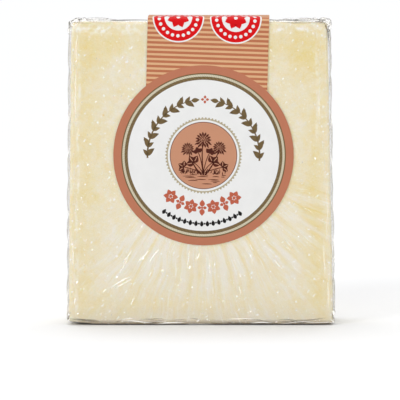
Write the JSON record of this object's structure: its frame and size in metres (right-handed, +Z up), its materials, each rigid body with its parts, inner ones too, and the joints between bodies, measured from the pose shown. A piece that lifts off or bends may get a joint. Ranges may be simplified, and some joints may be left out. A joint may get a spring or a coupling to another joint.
{
  "type": "hard goat cheese",
  "caption": "Upright slab of pale hard goat cheese sealed in clear film, with a round paper label whose striped tail folds over the top edge.",
  "frame": {"origin": "on the resting surface, under the middle of the base", "axes": "+Z up, the labelled face towards -Y, +X to the right of someone who looks at the label"},
  "size_m": [0.0975, 0.0242, 0.1114],
  "materials": {
    "cheese": "matt, pale ivory, slightly oily cut cheese",
    "film": "clear glossy wrapping film",
    "label_paper": "printed coated paper, soft sheen"
  },
  "bodies": {
    "root": {"cheese_block": "cheese", "film_wrap": "film", "label": "label_paper"}
  },
  "joints": []
}
